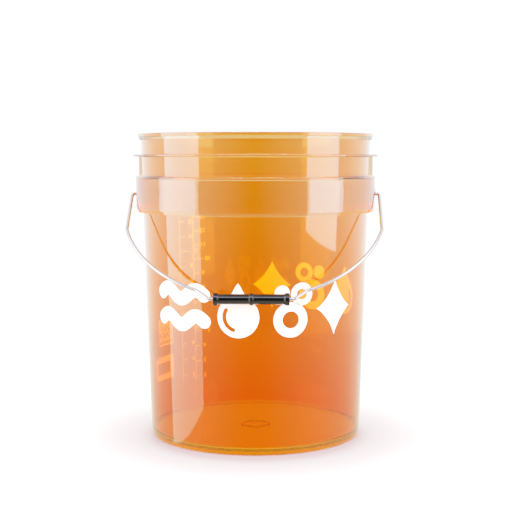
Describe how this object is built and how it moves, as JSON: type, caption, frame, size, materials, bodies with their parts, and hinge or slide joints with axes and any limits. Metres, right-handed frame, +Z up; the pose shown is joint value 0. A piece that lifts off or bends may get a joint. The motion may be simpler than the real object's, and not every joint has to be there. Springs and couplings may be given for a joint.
{
  "type": "wash bucket",
  "caption": "Round tapered wash bucket with a rolled rim, stacking flange and ear skirt, carried by a swinging wire bail with a roller grip.",
  "frame": {"origin": "on the tub's axis, at the plane the foot ring stands on", "axes": "+Z up along the tub's axis, front towards -Y where the bail hangs at rest, +X through the right ear"},
  "size_m": [0.2972, 0.2888, 0.3555],
  "materials": {
    "tub_plastic": "clear orange moulded plastic, glossy",
    "bail_steel": "bright drawn zinc-plated steel wire",
    "grip_plastic": "black, glossy"
  },
  "bodies": {
    "tub": {"tub": "tub_plastic"},
    "bail": {"bail": "bail_steel"},
    "grip": {"grip": "grip_plastic"}
  },
  "joints": [
    {"name": "bail_swing", "type": "hinge", "parent": "tub", "child": "bail", "pos_m": [0, 0, 0.2852], "axis": [-1, 0, 0], "range_deg": [0, 257]},
    {"name": "grip_spin", "type": "hinge", "parent": "bail", "child": "grip", "pos_m": [0, -0.13713, 0.17599], "axis": [1, 0, 0], "continuous": true}
  ]
}
